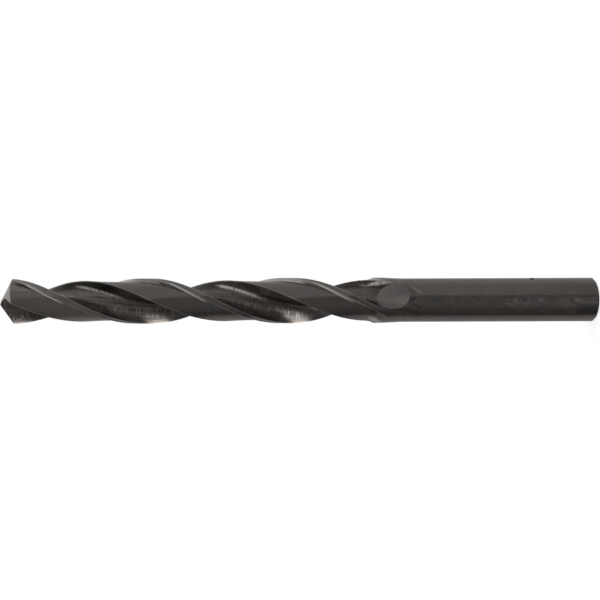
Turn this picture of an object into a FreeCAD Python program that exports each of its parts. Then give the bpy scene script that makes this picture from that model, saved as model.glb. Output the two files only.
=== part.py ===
"""Twist drill bit: one piece of ground steel with two right-hand helical flutes.

The drill stands on the flat end of its shank, with its axis on +Z and its point up.
The origin is the centre of the shank's end face.
"""

import FreeCAD, Part
import math
import os

# Driving sizes, in millimetres and degrees
overall_length = 133.0
body_diameter = 10.2
shank_diameter = 9.8
shank_end_chamfer = 0.45
flute_length = 87.0
helix_lead = 64.0
point_angle = 118.0
leading_corner_angle = 10.5

# Web, the core left between the flutes
web_at_point = body_diameter / 6
web_rise_per_100 = 1.5

# Flute wall: cutting face, bottom arc and a straight side to the heel
flute_bottom_radius = 0.225 * body_diameter

# Land: a narrow margin at full diameter, then a step down to the relieved body
land_angle = 84.5
margin_width = 0.127 * body_diameter
step_depth = 0.0735 * body_diameter
step_slope = 25.0
relief_rise_at_heel = 0.0245 * body_diameter

# Where the flutes, the relief and the full diameter end, above the end of the flute length
full_depth_above_flute_end = 1.9
flute_runout_radius = 10.25
flute_runout_start_angle = 32.0
flute_runout_rise_angle = 99.0
relief_above_flute_end = 4.0
relief_runout_radius = 4.0
neck_above_flute_end = 1.0
neck_length = 4.0

# Point grinding: each flank is part of a large cone that has the cutting lip on it
lip_relief = 9.0
flank_cone_half_angle = 35.0
flank_apex_beyond_centre = 8.0

# How closely the helical surfaces follow their curves
turn_per_section = 30.0
runout_step = 1.4
rake_spans = 4
bottom_spans = 4
land_spans = 4
arc_spans = 4
halvings = 40
small_share = 0.001

# Clearances of the grinding, all outside the finished drill
cutter_overrun = 1.0
cutter_back_clearance = 8.0
shortest_heel_side = 0.1
flat_within = 0.001

# Sizes worked out from the ones above
body_radius = body_diameter / 2
shank_radius = shank_diameter / 2
half_point = math.radians(point_angle / 2)
corner_drop = math.sqrt(body_radius ** 2 - (web_at_point / 2) ** 2) / math.tan(half_point)
corner_z = overall_length - corner_drop
helix_angle = math.atan(math.pi * body_diameter / helix_lead)
lip_offset = web_at_point / 2
relief_radius = body_radius - step_depth
heel_radius = relief_radius + relief_rise_at_heel
heel_angle = math.pi - math.radians(land_angle)
step_angle = math.pi - margin_width / body_radius
step_run = math.tan(math.radians(step_slope)) / body_radius
relief_foot_angle = step_angle - step_depth * step_run
relief_middle_angle = (heel_angle + relief_foot_angle) / 2
runout_start_angle = math.radians(flute_runout_start_angle)
runout_rise_angle = math.radians(flute_runout_rise_angle)
flute_end_z = overall_length - flute_length
full_depth_end_z = flute_end_z + full_depth_above_flute_end
relief_end_z = flute_end_z + relief_above_flute_end
runout_top_z = relief_end_z + 2 * cutter_overrun
lift_clear_of_bar = max(body_radius, shank_radius) + cutter_overrun
flank_cone_reach = 1.6 * overall_length


def turn_at(z):
    """Angle about +Z of the first land's leading corner, in radians, at height z."""
    return math.radians(leading_corner_angle) - 2 * math.pi * (overall_length - z) / helix_lead


def web_radius_at(z):
    """Half the web's thickness at height z."""
    return web_at_point / 2 + web_rise_per_100 / 200 * (overall_length - z)


def distance_past(point, z, start_z, middle_angle):
    """Distance of a place past a disc cutter's last full-depth place, along the cutter's rim."""
    along = (start_z - z) / math.cos(helix_angle)
    across = point.Length * math.sin(direction(point) - middle_angle)
    return along - across * math.sin(helix_angle)


def cutter_lift(distance, cutter_radius):
    """How far a disc cutter's rim has risen at a distance past its lowest point."""
    return max(distance, 0.0) ** 2 / (2 * cutter_radius)


def polar(radius, angle):
    """A point of the cross-section, with the leading corner on the first axis."""
    return FreeCAD.Vector(radius * math.cos(angle), radius * math.sin(angle), 0)


def lip_reach(radius):
    """Distance from the web's side to a radius, measured along the straight lip."""
    return math.sqrt(radius ** 2 - lip_offset ** 2)


def rake_point(radius):
    """A point of the flute's cutting face, which makes the lip straight at the point angle."""
    above_corner = (lip_reach(body_radius) - lip_reach(radius)) / math.tan(half_point)
    ahead = math.asin(lip_offset / radius) - math.asin(lip_offset / body_radius)
    return polar(radius, ahead - 2 * math.pi * above_corner / helix_lead)


def rake_normal(radius):
    """Direction square to the cutting face, into the flute."""
    outward = rake_point(radius * (1 + small_share)) - rake_point(radius * (1 - small_share))
    outward.normalize()
    return FreeCAD.Vector(-outward.y, outward.x, 0)


def first_place(low, high, is_past):
    """The first place between two at which a condition holds, found by halving."""
    for _ in range(halvings):
        middle = (low + high) / 2
        if is_past(middle):
            high = middle
        else:
            low = middle
    return high


def bottom_centre(radius):
    """Centre of the flute's bottom arc if it leaves the cutting face at a radius."""
    return rake_point(radius) + rake_normal(radius) * flute_bottom_radius


def bottom_start(web_radius):
    """Radius at which the bottom arc leaves the cutting face to touch the web."""
    least = flute_bottom_radius + web_radius
    just_outside_lip = lip_offset * (1 + 2 * small_share)
    return first_place(just_outside_lip, body_radius,
                       lambda radius: bottom_centre(radius).Length > least)


def direction(vector):
    """Angle of a vector in the cross-section."""
    return math.atan2(vector.y, vector.x)


def face_and_bottom(web_radius):
    """Points of the flute's wall from outside the leading corner to the end of its bottom arc."""
    start = bottom_start(web_radius)
    inward = start - body_radius
    face = [rake_point(body_radius + cutter_overrun)]
    face += [rake_point(body_radius + inward * k / rake_spans) for k in range(rake_spans)]
    centre = bottom_centre(start)
    first = direction(rake_point(start) - centre)
    sweep = (first - tangent_direction(centre)) % (2 * math.pi)
    angles = [first - sweep * k / bottom_spans for k in range(bottom_spans + 1)]
    return face + [centre + polar(flute_bottom_radius, angle) for angle in angles]


def tangent_direction(centre):
    """Direction from the bottom arc's centre to the place where a line to the heel leaves it."""
    to_heel = polar(heel_radius, heel_angle) - centre
    return direction(to_heel) + math.acos(flute_bottom_radius / to_heel.Length)


def relief_radius_at(angle):
    """Radius of the relieved land, which grows from the step towards the heel."""
    share = (relief_foot_angle - angle) / (relief_foot_angle - heel_angle)
    return relief_radius + relief_rise_at_heel * max(share, 0.0) ** 3


def land_radius_at(angle, z):
    """Radius of the relieved land where it has run out, or not yet."""
    ground = relief_radius_at(angle)
    distance = distance_past(polar(ground, angle), z, relief_end_z, relief_middle_angle)
    lift = cutter_lift(distance, relief_runout_radius)
    return ground + min(lift, step_depth + cutter_overrun)


def lifted(point, z):
    """A point of the flute's wall at height z, raised if the flute has begun to run out there."""
    distance = distance_past(point, z, full_depth_end_z, runout_start_angle)
    lift = min(cutter_lift(distance, flute_runout_radius), lift_clear_of_bar)
    return point + polar(lift, runout_rise_angle)


def flute_part(z):
    """The flute's wall at height z, from outside the leading corner to the heel."""
    wall = face_and_bottom(web_radius_at(z))
    side = polar(heel_radius, heel_angle) - wall[-1]
    farthest = 1 + cutter_back_clearance / side.Length
    shortest = shortest_heel_side / side.Length
    share = first_place(shortest, farthest, lambda s: above_land(lifted(wall[-1] + side * s, z), z))
    return [lifted(point, z) for point in wall + [wall[-1] + side * share]]


def above_land(point, z):
    """Whether a place of the section is outside the relieved land's surface."""
    return point.Length > land_radius_at(direction(point), z)


def relief_part(heel, z):
    """The relieved land from its heel to the foot of the step."""
    start_angle = direction(heel)
    points = [heel]
    for k in range(1, land_spans + 1):
        angle = start_angle + (relief_foot_angle - start_angle) * k / land_spans
        points.append(polar(land_radius_at(angle, z), angle))
    return points


def step_line(foot):
    """The step from its foot to the margin's full diameter, and on past it."""
    top = polar(foot.Length + step_depth, direction(foot) + step_depth * step_run)
    return [foot, top, top + (top - foot) * (cutter_overrun / step_depth)]


def placed(points, z, extra_turn):
    """The points of a cross-section, turned with the helix and raised to height z."""
    turn = turn_at(z) + extra_turn
    turned = []
    for point in points:
        turned.append(polar(point.Length, direction(point) + turn) + FreeCAD.Vector(0, 0, z))
    return turned


def spline(points, parameters):
    """A smooth curve through the points, which lie at the given parameters."""
    curve = Part.BSplineCurve()
    curve.interpolate(Points=points, Parameters=parameters)
    return curve


def lengths_along(points):
    """Distance from the first point to each of the points, along straight lines between them."""
    lengths = [0.0]
    for before, after in zip(points, points[1:]):
        lengths.append(lengths[-1] + (after - before).Length)
    return lengths


def ground_edges(z, extra_turn, past_margins):
    """The ground outline beside one land at height z: flute wall, relieved land and step.

    It ends at the two margins' corners, or for a cutter it goes on past them.
    """
    wall = flute_part(z)
    land = relief_part(wall[-1], z)
    step = placed(step_line(land[-1]), z, extra_turn)
    wall_curve = spline(placed(wall, z, extra_turn), wall_parameters)
    start = wall_parameters[0 if past_margins else 1]
    return [wall_curve.toShape(start, wall_parameters[-1]),
            spline(placed(land, z, extra_turn), land_parameters).toShape(),
            Part.makeLine(step[0], step[2 if past_margins else 1])]


def ends_of(edges):
    """The first and last points of a row of edges."""
    return edges[0].Vertexes[0].Point, edges[-1].Vertexes[-1].Point


def points_about_axis(start, end, radius, z):
    """Points at even angles about the drill's axis from one direction to another, the short way."""
    first = direction(start)
    sweep = (direction(end) - first) % (2 * math.pi)
    if sweep > math.pi:
        sweep -= 2 * math.pi
    lift = FreeCAD.Vector(0, 0, z)
    angles = [first + sweep * k / arc_spans for k in range(arc_spans + 1)]
    return [polar(radius, angle) + lift for angle in angles]


def body_section(z):
    """The whole outline of the fluted body at height z, with two lands."""
    halves = [ground_edges(z, 0.0, False), ground_edges(z, math.pi, False)]
    edges = []
    for half, other in (halves, halves[::-1]):
        margin_back = ends_of(half)[1]
        next_corner = ends_of(other)[0]
        margin = points_about_axis(margin_back, next_corner, body_radius, z)
        edges += half + [spline(margin, range(arc_spans + 1)).toShape()]
    return Part.Wire(edges)


def cutter_section(z, extra_turn):
    """What the grinding takes out of the bar beside one land at height z."""
    ground = ground_edges(z, extra_turn, True)
    first, last = ends_of(ground)
    back = points_about_axis(last, first, body_radius + cutter_back_clearance, z)
    return Part.Wire(ground + Part.makePolygon([last] + back + [first]).Edges)


def even_heights(start, end, spacing):
    """Heights from the start to the end, evenly spaced and no farther apart than the spacing."""
    count = math.ceil(abs(end - start) / spacing)
    return [start + (end - start) * k / count for k in range(count + 1)]


def runout_bottom_z():
    """Height at which the whole of the flute's wall has risen clear of the body."""
    along = math.sqrt(2 * flute_runout_radius * lift_clear_of_bar)
    across = body_radius * math.sin(helix_angle)
    return full_depth_end_z - (along + across) * math.cos(helix_angle)


def runout_cutter(extra_turn):
    """The space taken out beside one land where the flute and the relief run out."""
    heights = even_heights(runout_top_z, runout_bottom_z(), runout_step)
    above = [runout_top_z + runout_step * k for k in (3, 2, 1)]
    sections = [cutter_section(z, extra_turn) for z in above + heights]
    return Part.makeLoft(sections, True, False)


def fluted_body():
    """The body with its flutes and lands at full depth, from the run-out to above the point."""
    spacing = helix_lead * turn_per_section / 360
    heights = even_heights(runout_top_z, overall_length + cutter_overrun, spacing)
    return Part.makeLoft([body_section(z) for z in heights], True, False)


def blank():
    """The turned bar below the full-depth flutes: shank, end chamfer, neck and some body."""
    neck_top = flute_end_z + neck_above_flute_end
    neck_bottom = neck_top - neck_length
    outline = [(0, 0),
               (shank_radius - shank_end_chamfer, 0),
               (shank_radius, shank_end_chamfer),
               (shank_radius, neck_bottom),
               (body_radius, neck_top),
               (body_radius, runout_top_z),
               (0, runout_top_z),
               (0, 0)]
    points = [FreeCAD.Vector(radius, 0, z) for radius, z in outline]
    face = Part.Face(Part.makePolygon(points))
    return face.revolve(FreeCAD.Vector(0, 0, 0), FreeCAD.Vector(0, 0, 1), 360)


def flank_cone(extra_turn):
    """The cone inside which one flank of the point is left, with the lip as its top line."""
    lip = FreeCAD.Vector(math.sin(half_point), 0, -math.cos(half_point))
    relief = math.radians(lip_relief)
    trailing = FreeCAD.Vector(0, -math.cos(relief), -math.sin(relief))
    outward = trailing.cross(lip).normalize()
    half_angle = math.radians(flank_cone_half_angle)
    axis = lip * math.cos(half_angle) - outward * math.sin(half_angle)
    apex = FreeCAD.Vector(0, lip_offset, 0) - lip * flank_apex_beyond_centre
    apex.z += overall_length - height_on_axis(apex, axis, half_angle)
    widest = flank_cone_reach * math.tan(half_angle)
    cone = Part.makeCone(0, widest, flank_cone_reach, apex, axis)
    lip_turn = turn_at(corner_z) - math.asin(lip_offset / body_radius) + extra_turn
    cone.rotate(FreeCAD.Vector(0, 0, 0), FreeCAD.Vector(0, 0, 1), math.degrees(lip_turn))
    return cone


def height_on_axis(apex, axis, half_angle):
    """Height at which the drill's own axis comes out of a flank's cone."""
    squared = math.cos(half_angle) ** 2
    sideways = -(apex.x * axis.x + apex.y * axis.y)
    a = axis.z ** 2 - squared
    b = 2 * sideways * axis.z
    c = sideways ** 2 - squared * (apex.x ** 2 + apex.y ** 2)
    root = math.sqrt(b ** 2 - 4 * a * c)
    heights = [apex.z + (-b + sign * root) / (2 * a) for sign in (1, -1)]
    return max(h for h in heights if sideways + (h - apex.z) * axis.z > 0)


# The same parameters in every section, so that the surfaces between them stay simple
wall_parameters = lengths_along(flute_part(overall_length))
land_parameters = lengths_along(relief_part(flute_part(overall_length)[-1], overall_length))


def twist_drill():
    """The shank with its flute run-outs, and the fluted body with its point ground."""
    shank = blank().cut(runout_cutter(0.0)).cut(runout_cutter(math.pi))
    body = fluted_body().common(flank_cone(0.0)).common(flank_cone(math.pi))
    return joined(shank, body, runout_top_z)


def joined(lower, upper, z):
    """One solid from two that share a whole cross-section at height z."""
    faces = [face for solid in (lower, upper) for face in solid.Faces if not lies_at(face, z)]
    shell = Part.Shell(faces)
    shell.sewShape()
    return Part.Solid(shell)


def lies_at(face, z):
    """Whether a face is a flat one at height z."""
    box = face.BoundBox
    return box.ZLength < flat_within and abs(box.ZMin - z) < flat_within


os.makedirs("parts", exist_ok=True)
drill = twist_drill()
drill.exportStep("parts/twist_drill.step")
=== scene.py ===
"""Looks of the twist drill: dark oxide-finished ground steel, standing on a white studio floor.

Lengths are in metres, apart from the drill's own sizes and the places of the marks on it, which are in
millimetres. The drill's axis is Z, its shank end is at the origin, and the photograph lies on its side:
up in the photograph is +X here, and the point is on the photograph's left.
"""

import math

import bpy
from mathutils import Matrix, Vector

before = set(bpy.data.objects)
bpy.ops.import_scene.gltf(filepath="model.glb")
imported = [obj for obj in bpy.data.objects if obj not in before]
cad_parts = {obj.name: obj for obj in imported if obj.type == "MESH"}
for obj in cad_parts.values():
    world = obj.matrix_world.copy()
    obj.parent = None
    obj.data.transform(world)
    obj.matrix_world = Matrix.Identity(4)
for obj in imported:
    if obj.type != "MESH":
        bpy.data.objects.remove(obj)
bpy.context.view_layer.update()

# The drill's own sizes in millimetres and degrees, which the material follows
drill_length = 133.0
flute_end = 46.0
helix_lead = 64.0
half_lead = helix_lead / 2
leading_corner_angle = 10.5
half_turn = 180.0
millimetres_per_metre = 1000.0

# Camera, from the fit to the photograph's outlines
camera_place = Vector((0.00012, -0.18662, 0.06368))
camera_yaw = 0.00983
camera_roll = -0.00369
focal_pixels = 830.42
frame_pixels = 600
sensor_width = 36.0
nearest_seen = 0.01
farthest_seen = 50.0

# Floor, with a glow that only the camera and glass see
floor_size = 6.0
floor_colour = (0.8, 0.8, 0.8, 1)
floor_roughness = 0.9
floor_glow = 0.7

# Light from all round, as the drill's dull parts receive it
ambient_strength = 0.35

# Softboxes: azimuth, elevation, width and height in degrees, and radiance. Azimuths are counted from
# the camera's side towards the side that faces up in the photograph.
softboxes = {
    "key_light": (100, 41, 60, 30, 0.9),
    "front_light": (15, 41, 70, 12, 1.0),
}
softbox_distance = 0.6

# The studio that the metal reflects, with the same azimuths and elevations. The front's strength grows
# between two azimuths. A zone is an angle, where it begins and is full, and its strength, and each one
# covers those before it.
front_ramp = (-80, -20, 0.17, 0.35)
inner_zones = (
    ("elevation", 9, 16, 0.55),
    ("azimuth", 21, 29, 0.76),
    ("elevation", 48, 60, 0.25),
    ("elevation", -17, -24, 0.22),
)
outer_zones = (
    ("azimuth", 78, 118, 0.95),
    ("azimuth", -86, -96, 0.58),
    ("azimuth", -94, -118, 0.82),
    ("elevation", -52, -62, 0.2),
)
shaded_side_azimuths = (48, 66, 104, 120)
shaded_side_elevations = (19, 28)
shaded_side_strength = 0.3
low_card_azimuths = (-47, -27, 2, 22)
low_card_elevations = (-60, -48, -34, -24)
low_card_strength = 4.8

# Colours of the steel and of the marks on it
colours = {
    "warm_oxide": (0.116, 0.102, 0.094, 1),
    "grey_oxide": (0.105, 0.098, 0.094, 1),
    "brown_oxide": (0.105, 0.085, 0.07, 1),
    "blue_oxide": (0.084, 0.086, 0.091, 1),
    "dark_flute": (0.06, 0.048, 0.041, 1),
    "light_flute": (0.109, 0.1, 0.095, 1),
    # a darker band in each flute
    "flute_dark_band": (0.035, 0.029, 0.025, 1),
    "rings": (0.205, 0.198, 0.195, 1),
    # painted shade on the heel's wall, and painted light at its end
    "heel_wall": (0.031, 0.026, 0.022, 1),
    "heel_wall_end_painted_light": (0.17, 0.15, 0.135, 1),
    # painted reflection streak in the flutes
    "painted_reflection_streak": (0.5, 0.48, 0.45, 1),
    # painted shade and painted light on the run-out's wall
    "runout_painted_shade": (0.05, 0.046, 0.043, 1),
    "runout_painted_light": (0.165, 0.155, 0.145, 1),
    # painted highlight where the relief ends
    "relief_end_painted_highlight": (0.5, 0.49, 0.48, 1),
    "facet": (0.184, 0.174, 0.165, 1),
    "flank": (0.28, 0.27, 0.255, 1),
    # painted highlight on the step behind each margin
    "step": (0.7, 0.68, 0.65, 1),
    "margin": (0.16, 0.15, 0.145, 1),
    "corner": (0.33, 0.315, 0.3, 1),
    # painted highlight along the heel's edge
    "heel_edge_painted_highlight": (0.36, 0.345, 0.33, 1),
    "scuffs": (0.155, 0.149, 0.155, 1),
    "end_stain": (0.04, 0.04, 0.043, 1),
    "stains": (0.06, 0.055, 0.05, 1),
    "pit": (0.004, 0.004, 0.004, 1),
}

# How much the fainter marks cover of the colour below them
cover = {
    "flute_dark_band": 0.45,
    "heel_wall_end_painted_light": 0.8,
    "relief_end_painted_highlight": 0.4,
    "margin": 0.2,
    "corner": 0.5,
    "heel_edge_painted_highlight": 0.5,
    "scuffs": 0.36,
    "end_stain": 0.55,
    "stains": 0.6,
}

# Below, four numbers are a window, which is full between the inner two and gone outside the outer two,
# and two numbers are a step, which is full at the second. A ramp is a step with the two results that it
# leads from and to. A stretch is a noise's scales across and along the drill's axis, and a detail is
# its detail, in some with its roughness.

# Oxide colours, by two noises
drift_stretch = (0.35, 0.12)
drift_detail = (3.0, 0.6)
drift_step = (0.38, 0.62)
patch_stretch = (0.9, 0.45)
patch_detail = (4.0, 0.65)
brown_step = (0.53, 0.7)
blue_step = (0.42, 0.28)

# Flutes: their section in degrees from a land's leading corner, radii, heights and the normal's rise.
# The flow's scales are of that angle, the height and the radius.
flute_angles = (0.5, 2, 94.8, 95.6)
flute_radii = (4.34, 4.28)
flute_heights = (38, 40)
flute_rise = (0.62, 0.5)
flow_scales = (0.13, 0.07, 0.8)
flow_detail = (3.0, 0.6)
flow_step = (0.35, 0.65)
flute_dark_band_angles = (18, 25, 29, 36)

# Grinding rings, which are plainer on the cutting face
ring_stretch = (0.4, 3.0)
ring_detail = 2.0
ring_step = (0.5, 0.68)
ring_cover_ramp = (16, 8, 0.15, 0.6)

# Heel's wall of each flute, with painted shade over part of each half turn and painted light at that part's
# end
heel_wall_angles = (75, 87, 97, 99)
heel_wall_radii = (2.0, 3.2)
heel_wall_top = 130.0
heel_wall_painted_shade_run = (2, 6, 22, 26)
heel_wall_painted_light_run = (23, 26, 29.5, 32)

# Painted reflection: a bright streak painted in the flutes, once in each half turn: its radius falls along
# the flute, and follows the wall where the flute runs out
streak_angles = (50, 70, 98, 99)
streak_top = 117.0
streak_run = (0, 2.5, 9, 13)
streak_first_radius = 3.65
streak_fall = 0.18
leaving_first_radius = 17.51
leaving_fall = 0.28
streak_width = (-0.5, -0.15, 0.1, 0.4)
streak_width_ramp = (48.2, 49.4, 0.62, 1.0)
streak_ring_ramp = (0.36, 0.56, 0.4, 1.0)
streak_gap = (49.4, 50.6, 52.5, 56)
streak_gap_depth = 0.65

# Where each flute runs out: the facet is a slanted ellipse with painted shade round it on one side and
# painted light on the other, and the relief's end has a painted highlight
facet_height = 44.8
facet_slant = 0.12
facet_side = 0.75
facet_half_width = 2.85
facet_half_height = 3.6
facet_edge = (1.04, 0.94)
facet_radii = (4.8, 4.6)
runout_heights = (46.5, 44)
runout_radii = (4.88, 4.8)
runout_sides = (0.4, 1.4)
runout_tail = (42.2, 41.2)
relief_end_angles = (104, 116, 128, 137)
relief_end_heights = (46.6, 47.6, 49.2, 51.0)

# Flanks of the point
flank_rise = (0.5, 0.62)
flank_heights = (124, 126)

# Step behind each margin, with painted highlights: one bright run in each half turn and a bright line along
# its edge
body_heights = (flute_end, flute_end + 3)
land_radii = (4.28, 4.34)
bright_run = (21, 23.6, 29, 31.3)
bright_run_top = 30.0
bright_run_slope = 0.8
bright_run_angle_ramp = (100, 112, 167.2, 165.8)
bright_run_width = (-2.6, -1.1, 1.1, 2.6)
upper_edge_angles = (160, 161.5, 165.8, 166.8)
upper_edge_run = (0, 1.5, 9, 12)
upper_edge_strength = 0.35
painted_edge_highlight_angles = (164, 165, 165.8, 166.8)
painted_edge_highlight_heights = (46.2, 47.4)
painted_edge_highlight_bend_ramp = (54, 45, 0.0, 3.6)
painted_edge_highlight_growth_ramp = (57, 54, 0.4, 0.9)

# Margin, the corners on both its sides, and a painted highlight along the heel's edge
margin_angles = (165.4, 166.2, 179, 180)
margin_radii = (4.8, 4.95)
corner_angles = (3.0, 0.8)
corner_radii = (4.75, 4.95)
heel_edge_angles = (94.6, 95.4, 96.4, 97.6)
heel_edge_radii = (4.2, 4.45)

# Shank: scuffs of three chuck jaws, stains and one pit. Its angles are azimuths round the drill.
jaw_spacing = 120.0
jaw_offset = 40.0
jaw_angles = (0, 6, 42, 50)
jaw_heights = (2, 6, 30, 37)
mark_stretch = (3.2, 1.3)
mark_detail = (3.0, 0.7)
scuff_step = (0.48, 0.64)
cluster_stretch = (0.5, 0.22)
cluster_detail = 2.0
cluster_step = (0.42, 0.6)
end_stain_heights = (0, 0.4, 4.4, 5.6)
end_stain_angles = (-46, -38, -13, -6)
stain_step = (0.46, 0.34)
stain_heights = (1, 4, 34, 42)
pit_angle = 74.0
pit_half_angle = 10.0
pit_height = 13.9
pit_half_height = 0.5
pit_edge = (1.1, 0.7)

# Gloss: how metallic and how rough the steel and its marks are
specular_tint = (0.72, 0.72, 0.72, 1)
steel_metal = 0.92
steel_roughness_ramp = (0.3, 0.7, 0.17, 0.26)
mark_metal = {"flute": 0.75, "facet": 0.5, "step": 0.15, "painted_reflection_streak": 0.5, "pit": 0.0}
flute_roughness = 0.26
painted_highlight_roughness = 0.42
facet_roughness = 0.56
tail_roughness = 0.6
scuff_roughness = 0.33
pit_roughness = 1.0

# Grinding lines, which run round the drill, with their depths in metres
line_stretch = (0.5, 9.0)
line_detail = 2.0
line_depth = 0.000006
line_strength = 0.6
ring_depth = 0.00005


def add_camera():
    """The camera lies on its side, as the photograph shows the drill lying along its width."""
    forward = Vector((0, math.cos(camera_yaw), math.sin(camera_yaw)))
    right = Vector((0, math.sin(camera_yaw), -math.cos(camera_yaw)))
    up = Vector((1, 0, 0))
    rolled_right = right * math.cos(camera_roll) + up * math.sin(camera_roll)
    rolled_up = up * math.cos(camera_roll) - right * math.sin(camera_roll)
    data = bpy.data.cameras.new("camera")
    data.sensor_width = sensor_width
    data.lens = focal_pixels / frame_pixels * sensor_width
    data.clip_start = nearest_seen
    data.clip_end = farthest_seen
    camera = bpy.data.objects.new("camera", data)
    turn = Matrix((rolled_right, rolled_up, -forward)).transposed()
    camera.matrix_world = Matrix.Translation(camera_place) @ turn.to_4x4()
    bpy.context.collection.objects.link(camera)
    bpy.context.scene.camera = camera


class Nodes:
    """Short ways to add and join nodes in one material or world."""

    def __init__(self, tree):
        self.tree = tree

    def add(self, kind, **settings):
        node = self.tree.nodes.new(kind)
        for name, value in settings.items():
            setattr(node, name, value)
        return node

    def link(self, source, target):
        if isinstance(source, (int, float, tuple)):
            target.default_value = source
        else:
            self.tree.links.new(source, target)

    def math(self, operation, first, second=None):
        node = self.add("ShaderNodeMath", operation=operation)
        self.link(first, node.inputs[0])
        if second is not None:
            self.link(second, node.inputs[1])
        return node.outputs[0]

    def product(self, first, *others):
        for other in others:
            first = self.math("MULTIPLY", first, other)
        return first

    def plus(self, first, second):
        return self.math("ADD", first, second)

    def minus(self, first, second):
        return self.math("SUBTRACT", first, second)

    def larger(self, first, second):
        return self.math("MAXIMUM", first, second)

    def remainder(self, value, divisor):
        return self.math("FLOORED_MODULO", value, divisor)

    def azimuth(self, sideways, forward):
        """Angle in degrees of a direction, counted from forward to sideways."""
        return self.math("DEGREES", self.math("ARCTAN2", sideways, forward))

    def split(self, vector):
        node = self.add("ShaderNodeSeparateXYZ")
        self.link(vector, node.inputs[0])
        return node.outputs

    def combined(self, x, y, z=0.0):
        node = self.add("ShaderNodeCombineXYZ")
        for value, socket in zip((x, y, z), node.inputs):
            self.link(value, socket)
        return node.outputs[0]

    def length(self, vector):
        node = self.add("ShaderNodeVectorMath", operation="LENGTH")
        self.link(vector, node.inputs[0])
        return node.outputs["Value"]

    def scaled(self, vector, scale):
        node = self.add("ShaderNodeVectorMath", operation="SCALE")
        self.link(vector, node.inputs[0])
        node.inputs["Scale"].default_value = scale
        return node.outputs[0]

    def stretched(self, vector, around, along):
        """The place with its scale across the axis and its scale along the axis changed."""
        node = self.add("ShaderNodeVectorMath", operation="MULTIPLY")
        self.link(vector, node.inputs[0])
        node.inputs[1].default_value = (around, around, along)
        return node.outputs[0]

    def mix(self, share, first, second):
        """A colour between two colours."""
        node = self.add("ShaderNodeMix", data_type="RGBA")
        self.link(share, node.inputs["Factor"])
        self.link(first, node.inputs["A"])
        self.link(second, node.inputs["B"])
        return node.outputs["Result"]

    def blend(self, share, first, second):
        """A number between two numbers."""
        node = self.add("ShaderNodeMix", data_type="FLOAT")
        for value, socket in zip((share, first, second), (0, 2, 3)):
            self.link(value, node.inputs[socket])
        return node.outputs[0]

    def smooth(self, value, low, high, first=0.0, second=1.0):
        """A smooth step from the first result to the second as the value goes from low to high."""
        node = self.add("ShaderNodeMapRange", interpolation_type="SMOOTHSTEP")
        self.link(value, node.inputs["Value"])
        node.inputs["From Min"].default_value = low
        node.inputs["From Max"].default_value = high
        node.inputs["To Min"].default_value = first
        node.inputs["To Max"].default_value = second
        return node.outputs["Result"]

    def window(self, value, low, full_from, full_to, high):
        """1 between the two middle values, falling smoothly to 0 at the outer ones."""
        rise = self.smooth(value, low, full_from)
        fall = self.smooth(value, full_to, high, 1.0, 0.0)
        return self.product(rise, fall)

    def noise(self, vector, detail, roughness=0.5):
        node = self.add("ShaderNodeTexNoise")
        self.link(vector, node.inputs["Vector"])
        node.inputs["Scale"].default_value = 1.0
        node.inputs["Detail"].default_value = detail
        node.inputs["Roughness"].default_value = roughness
        return node.outputs["Fac"]

    def bump(self, height, distance, strength, below=None):
        node = self.add("ShaderNodeBump")
        self.link(height, node.inputs["Height"])
        self.link(strength, node.inputs["Strength"])
        node.inputs["Distance"].default_value = distance
        if below is not None:
            self.link(below, node.inputs["Normal"])
        return node.outputs["Normal"]


def seen_directly(nodes):
    """Whether a ray comes straight from the camera or through glass."""
    path = nodes.add("ShaderNodeLightPath")
    return nodes.larger(path.outputs["Is Camera Ray"], path.outputs["Is Transmission Ray"])


def studio_reflection(nodes):
    """What the metal reflects: the white background behind it, and the dimmer studio in front."""
    x, y, z = nodes.split(nodes.add("ShaderNodeTexCoord").outputs["Generated"])
    angles = {
        "azimuth": nodes.azimuth(x, nodes.product(y, -1)),
        "elevation": nodes.math("DEGREES", nodes.math("ARCSINE", z)),
    }
    light = nodes.smooth(angles["azimuth"], *front_ramp)
    light = with_zones(nodes, light, angles, inner_zones)
    shaded_side = nodes.product(nodes.window(angles["azimuth"], *shaded_side_azimuths),
                                nodes.smooth(angles["elevation"], *shaded_side_elevations))
    light = nodes.blend(shaded_side, light, shaded_side_strength)
    light = with_zones(nodes, light, angles, outer_zones)
    low_card = nodes.product(nodes.window(angles["elevation"], *low_card_elevations),
                             nodes.window(angles["azimuth"], *low_card_azimuths))
    return nodes.blend(low_card, light, low_card_strength)


def with_zones(nodes, light, angles, zones):
    """The studio's light with each zone laid over it."""
    for angle, start, full, strength in zones:
        light = nodes.blend(nodes.smooth(angles[angle], start, full), light, strength)
    return light


def light_world():
    """White where it is seen, a studio where it is reflected, and a plain soft light elsewhere."""
    world = bpy.data.worlds.new("studio")
    world.use_nodes = True
    bpy.context.scene.world = world
    nodes = Nodes(world.node_tree)
    background = world.node_tree.nodes["Background"]
    background.inputs["Color"].default_value = (1, 1, 1, 1)
    reflected = nodes.add("ShaderNodeLightPath").outputs["Is Glossy Ray"]
    strength = nodes.blend(reflected, ambient_strength, studio_reflection(nodes))
    nodes.link(nodes.blend(seen_directly(nodes), strength, 1.0), background.inputs["Strength"])


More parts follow.
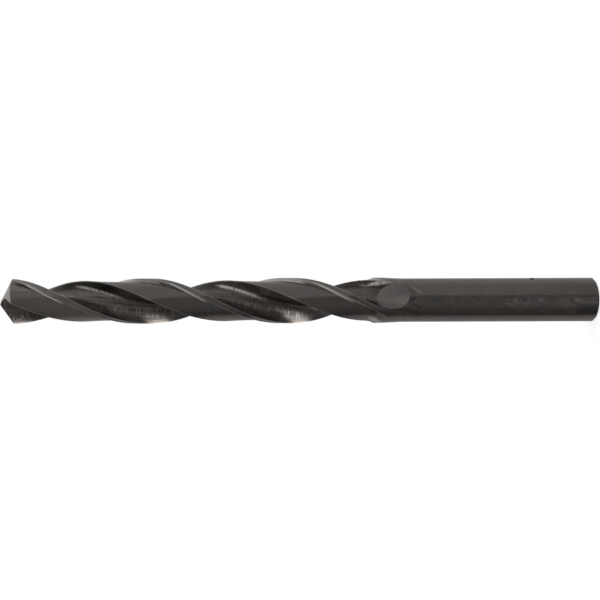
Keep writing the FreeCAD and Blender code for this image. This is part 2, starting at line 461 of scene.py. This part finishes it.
def add_softboxes():
    """Area lights round the drill's middle, each turned towards it."""
    middle = Vector((0, 0, drill_length / millimetres_per_metre / 2))
    for name, (azimuth, elevation, width, height, radiance) in softboxes.items():
        data = bpy.data.lights.new(name, "AREA")
        data.shape = "RECTANGLE"
        data.size = 2 * softbox_distance * math.tan(math.radians(width / 2))
        data.size_y = 2 * softbox_distance * math.tan(math.radians(height / 2))
        data.energy = radiance * math.pi * data.size * data.size_y
        around = math.radians(azimuth)
        up = math.radians(elevation)
        away = Vector((math.sin(around) * math.cos(up), -math.cos(around) * math.cos(up), math.sin(up)))
        lamp = bpy.data.objects.new(name, data)
        lamp.location = middle + away * softbox_distance
        lamp.rotation_mode = "QUATERNION"
        lamp.rotation_quaternion = away.to_track_quat("Z", "Y")
        bpy.context.collection.objects.link(lamp)


def add_floor():
    """A white floor, which shows only the drill's soft shadow."""
    mesh = bpy.data.meshes.new("floor")
    half = floor_size / 2
    corners = [(-half, -half, 0), (half, -half, 0), (half, half, 0), (-half, half, 0)]
    mesh.from_pydata(corners, [], [(0, 1, 2, 3)])
    floor = bpy.data.objects.new("floor", mesh)
    floor.visible_glossy = False
    bpy.context.collection.objects.link(floor)
    material = bpy.data.materials.new("floor_white")
    material.use_nodes = True
    nodes = Nodes(material.node_tree)
    shader = material.node_tree.nodes["Principled BSDF"]
    shader.inputs["Base Color"].default_value = floor_colour
    shader.inputs["Roughness"].default_value = floor_roughness
    shader.inputs["Emission Color"].default_value = (1, 1, 1, 1)
    nodes.link(nodes.product(seen_directly(nodes), floor_glow), shader.inputs["Emission Strength"])
    mesh.materials.append(material)


class Spot:
    """Where a point of the drill's surface lies, in millimetres and degrees."""

    def __init__(self, nodes):
        coordinates = nodes.add("ShaderNodeTexCoord")
        self.place = nodes.scaled(coordinates.outputs["Object"], millimetres_per_metre)
        self.x, y, self.height = nodes.split(self.place)
        self.front = nodes.product(y, -1)
        self.radius = nodes.length(nodes.combined(self.x, y))
        self.azimuth = nodes.azimuth(self.x, self.front)
        self.rise = nodes.split(coordinates.outputs["Normal"])[2]
        self.angle = section_angle(nodes, nodes.azimuth(y, self.x), self.height)
        self.on_body = nodes.smooth(self.height, *body_heights)
        self.run = nodes.remainder(self.height, half_lead)


def section_angle(nodes, about_axis, height):
    """Angle from the leading corner of the point's own land."""
    turned = nodes.product(nodes.minus(drill_length, height), 360 / helix_lead)
    angle = nodes.minus(nodes.plus(about_axis, turned), leading_corner_angle)
    return nodes.remainder(angle, half_turn)


def oxide_colour(nodes, spot, patches):
    """Oxide, which drifts from warm grey to blue and brown along the drill."""
    drift = nodes.noise(nodes.stretched(spot.place, *drift_stretch), *drift_detail)
    colour = nodes.mix(nodes.smooth(drift, *drift_step), colours["warm_oxide"], colours["grey_oxide"])
    colour = nodes.mix(nodes.smooth(patches, *brown_step), colour, colours["brown_oxide"])
    return nodes.mix(nodes.smooth(patches, *blue_step), colour, colours["blue_oxide"])


def flute_colour(nodes, spot):
    """Flutes are browner, in bands that follow the helix."""
    values = (spot.angle, spot.height, spot.radius)
    flow = nodes.combined(*[nodes.product(value, scale) for value, scale in zip(values, flow_scales)])
    share = nodes.smooth(nodes.noise(flow, *flow_detail), *flow_step)
    return nodes.mix(share, colours["dark_flute"], colours["light_flute"])


def flute_marks(nodes, spot, rings):
    """The flutes, the darker bands and grinding rings in them, the painted shade and light on their heels'
    walls and their painted reflection streaks.
    """
    flute = nodes.larger(nodes.smooth(spot.radius, *flute_radii), nodes.window(spot.angle, *flute_angles))
    flute = nodes.product(flute, nodes.smooth(spot.height, *flute_heights),
                          nodes.smooth(spot.rise, *flute_rise))
    marks = {"flute": flute}
    marks["flute_dark_band"] = nodes.product(nodes.window(spot.angle, *flute_dark_band_angles), flute)
    ring_share = nodes.smooth(nodes.math("PINGPONG", spot.angle, half_turn / 2), *ring_cover_ramp)
    marks["rings"] = nodes.product(nodes.smooth(rings, *ring_step), flute, ring_share)
    heel_wall = nodes.product(nodes.window(spot.angle, *heel_wall_angles), flute,
                              nodes.smooth(spot.radius, *heel_wall_radii))
    run = nodes.remainder(nodes.minus(heel_wall_top, spot.height), half_lead)
    # painted shade over part of each half turn of the heel's wall, and painted light at that part's end
    marks["heel_wall"] = nodes.product(heel_wall, nodes.window(run, *heel_wall_painted_shade_run))
    marks["heel_wall_end_painted_light"] = nodes.product(heel_wall, nodes.window(run, *heel_wall_painted_light_run))
    marks["painted_reflection_streak"] = nodes.product(painted_reflection_streak(nodes, spot, rings), flute)
    return marks


def painted_reflection_streak(nodes, spot, rings):
    """The painted reflection streak's strength, as if all of the drill were flute."""
    run = nodes.remainder(nodes.minus(streak_top, spot.height), half_lead)
    middle = nodes.minus(streak_first_radius, nodes.product(run, streak_fall))
    leaving = nodes.minus(leaving_first_radius, nodes.product(spot.height, leaving_fall))
    off_middle = nodes.minus(spot.radius, nodes.larger(middle, leaving))
    off_middle = nodes.product(off_middle, nodes.smooth(spot.height, *streak_width_ramp))
    gap = nodes.product(nodes.window(spot.height, *streak_gap), streak_gap_depth)
    return nodes.product(nodes.window(off_middle, *streak_width),
                         nodes.window(run, *streak_run),
                         nodes.window(spot.angle, *streak_angles),
                         nodes.smooth(rings, *streak_ring_ramp),
                         nodes.minus(1.0, gap))


def runout_marks(nodes, spot, side):
    """Where the cutters left the bar: the run-outs' walls, the painted highlights at the relief's ends, and
    the facets.
    """
    slant = nodes.product(nodes.minus(spot.height, facet_height), facet_slant)
    across = nodes.minus(nodes.plus(side, slant), facet_side)
    across = nodes.math("DIVIDE", across, facet_half_width)
    along = nodes.math("DIVIDE", nodes.minus(spot.height, facet_height), facet_half_height)
    reach = nodes.length(nodes.combined(across, along))
    return {
        "runout": nodes.product(nodes.smooth(spot.height, *runout_heights),
                                nodes.smooth(spot.radius, *runout_radii)),
        "relief_end_painted_highlight": nodes.product(nodes.window(spot.height, *relief_end_heights),
                                    nodes.window(spot.angle, *relief_end_angles)),
        "facet": nodes.product(nodes.smooth(reach, *facet_edge),
                               nodes.smooth(spot.radius, *facet_radii)),
    }


def runout_colour(nodes, side):
    """The run-out's wall has painted shade on one side of the facet and painted light on the other."""
    return nodes.mix(nodes.smooth(side, *runout_sides), colours["runout_painted_shade"], colours["runout_painted_light"])


def step(nodes, spot):
    """Painted highlights on the ground step behind each margin: its bright runs, its upper edge and the line
    along its edge.
    """
    slope = nodes.product(nodes.minus(bright_run_top, spot.run), bright_run_slope)
    off_middle = nodes.minus(nodes.plus(spot.angle, slope), nodes.smooth(spot.height, *bright_run_angle_ramp))
    bright = nodes.product(nodes.window(off_middle, *bright_run_width),
                           nodes.window(spot.run, *bright_run))
    upper_edge = nodes.product(nodes.window(spot.run, *upper_edge_run), upper_edge_strength,
                               nodes.window(spot.angle, *upper_edge_angles))
    # painted highlight along the step's edge, bent and stronger towards the run-out
    bent = nodes.plus(spot.angle, nodes.smooth(spot.height, *painted_edge_highlight_bend_ramp))
    painted_edge_highlight = nodes.product(nodes.window(bent, *painted_edge_highlight_angles),
                              nodes.smooth(spot.height, *painted_edge_highlight_growth_ramp),
                              nodes.smooth(spot.height, *painted_edge_highlight_heights))
    both = nodes.product(nodes.larger(bright, upper_edge), spot.on_body)
    return nodes.product(nodes.larger(both, painted_edge_highlight), nodes.smooth(spot.radius, *land_radii))


def land_marks(nodes, spot):
    """The point's flanks, and on the lands the step's painted highlights, the margin, the worn corners and
    the painted highlight along the heel's edge.
    """
    off_corner = nodes.math("MINIMUM", spot.angle, nodes.minus(half_turn, spot.angle))
    return {
        "flank": nodes.product(nodes.smooth(spot.rise, *flank_rise),
                               nodes.smooth(spot.height, *flank_heights)),
        "step": step(nodes, spot),
        "margin": nodes.product(nodes.window(spot.angle, *margin_angles), spot.on_body,
                                nodes.smooth(spot.radius, *margin_radii)),
        "corner": nodes.product(nodes.smooth(off_corner, *corner_angles),
                                nodes.smooth(spot.radius, *corner_radii), spot.on_body),
        "heel_edge_painted_highlight": nodes.product(nodes.window(spot.angle, *heel_edge_angles), spot.on_body,
                                   nodes.smooth(spot.radius, *heel_edge_radii)),
    }


def shank_marks(nodes, spot):
    """Scuffs that chuck jaws leave on the shank, stains and one pit."""
    specks = nodes.noise(nodes.stretched(spot.place, *mark_stretch), *mark_detail)
    clusters = nodes.noise(nodes.stretched(spot.place, *cluster_stretch), cluster_detail)
    jaws = nodes.remainder(nodes.plus(spot.azimuth, jaw_offset), jaw_spacing)
    off_pit_angle = nodes.math("DIVIDE", nodes.minus(spot.azimuth, pit_angle), pit_half_angle)
    off_pit_height = nodes.math("DIVIDE", nodes.minus(spot.height, pit_height), pit_half_height)
    off_pit = nodes.length(nodes.combined(off_pit_angle, off_pit_height))
    return {
        "scuffs": nodes.product(nodes.window(jaws, *jaw_angles),
                                nodes.window(spot.height, *jaw_heights),
                                nodes.smooth(clusters, *cluster_step),
                                nodes.smooth(specks, *scuff_step)),
        "end_stain": nodes.product(nodes.window(spot.height, *end_stain_heights),
                                   nodes.window(spot.azimuth, *end_stain_angles)),
        "stains": nodes.product(nodes.smooth(specks, *stain_step),
                                nodes.window(spot.height, *stain_heights)),
        "pit": nodes.smooth(off_pit, *pit_edge),
    }


def covered(nodes, colour, marks, mark_colours):
    """The colour with each mark laid over it, in the order in which the marks are given."""
    for name, share in marks.items():
        if name in cover:
            share = nodes.product(share, cover[name])
        colour = nodes.mix(share, colour, mark_colours[name])
    return colour


def metal(nodes, marks):
    """How metallic the surface is, less so in the flutes, on the facets, the painted highlights and
    reflection, and the pit.
    """
    value = steel_metal
    for name, amount in mark_metal.items():
        value = nodes.blend(marks[name], value, amount)
    return value


def roughness(nodes, spot, marks, patches):
    """Satin, more so in the flutes, on the painted highlights and reflection, and where the surface is worn.
    """
    tail = nodes.product(marks["runout"], nodes.smooth(spot.height, *runout_tail))
    layers = (
        (marks["flute"], flute_roughness),
        (nodes.larger(marks["step"], marks["painted_reflection_streak"]), painted_highlight_roughness),
        (marks["facet"], facet_roughness),
        (tail, tail_roughness),
        (marks["scuffs"], scuff_roughness),
        (marks["pit"], pit_roughness),
    )
    value = nodes.smooth(patches, *steel_roughness_ramp)
    for share, amount in layers:
        value = nodes.blend(share, value, amount)
    return value


def dark_tool_steel():
    """Oxide-finished ground steel, brighter where its edges are worn, with painted shade, light and
    highlights.
    """
    material = bpy.data.materials.new("dark_tool_steel")
    material.use_nodes = True
    nodes = Nodes(material.node_tree)
    shader = material.node_tree.nodes["Principled BSDF"]
    shader.inputs["Specular Tint"].default_value = specular_tint

    spot = Spot(nodes)
    patches = nodes.noise(nodes.stretched(spot.place, *patch_stretch), *patch_detail)
    rings = nodes.noise(nodes.stretched(spot.place, *ring_stretch), ring_detail)
    side = nodes.product(spot.x, nodes.math("SIGN", spot.front))
    marks = flute_marks(nodes, spot, rings)
    marks.update(runout_marks(nodes, spot, side))
    marks.update(land_marks(nodes, spot))
    marks.update(shank_marks(nodes, spot))
    mark_colours = {**colours, "flute": flute_colour(nodes, spot), "runout": runout_colour(nodes, side)}

    colour = covered(nodes, oxide_colour(nodes, spot, patches), marks, mark_colours)
    nodes.link(colour, shader.inputs["Base Color"])
    nodes.link(metal(nodes, marks), shader.inputs["Metallic"])
    nodes.link(roughness(nodes, spot, marks, patches), shader.inputs["Roughness"])
    fine = nodes.noise(nodes.stretched(spot.place, *line_stretch), line_detail)
    lines = nodes.bump(fine, line_depth, line_strength)
    nodes.link(nodes.bump(rings, ring_depth, marks["flute"], lines), shader.inputs["Normal"])
    return material


def dress_drill():
    """The whole drill has one material."""
    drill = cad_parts["twist_drill"]
    drill.data.materials.clear()
    drill.data.materials.append(dark_tool_steel())


add_camera()
light_world()
add_softboxes()
add_floor()
dress_drill()

bpy.context.scene.view_settings.view_transform = "Standard"
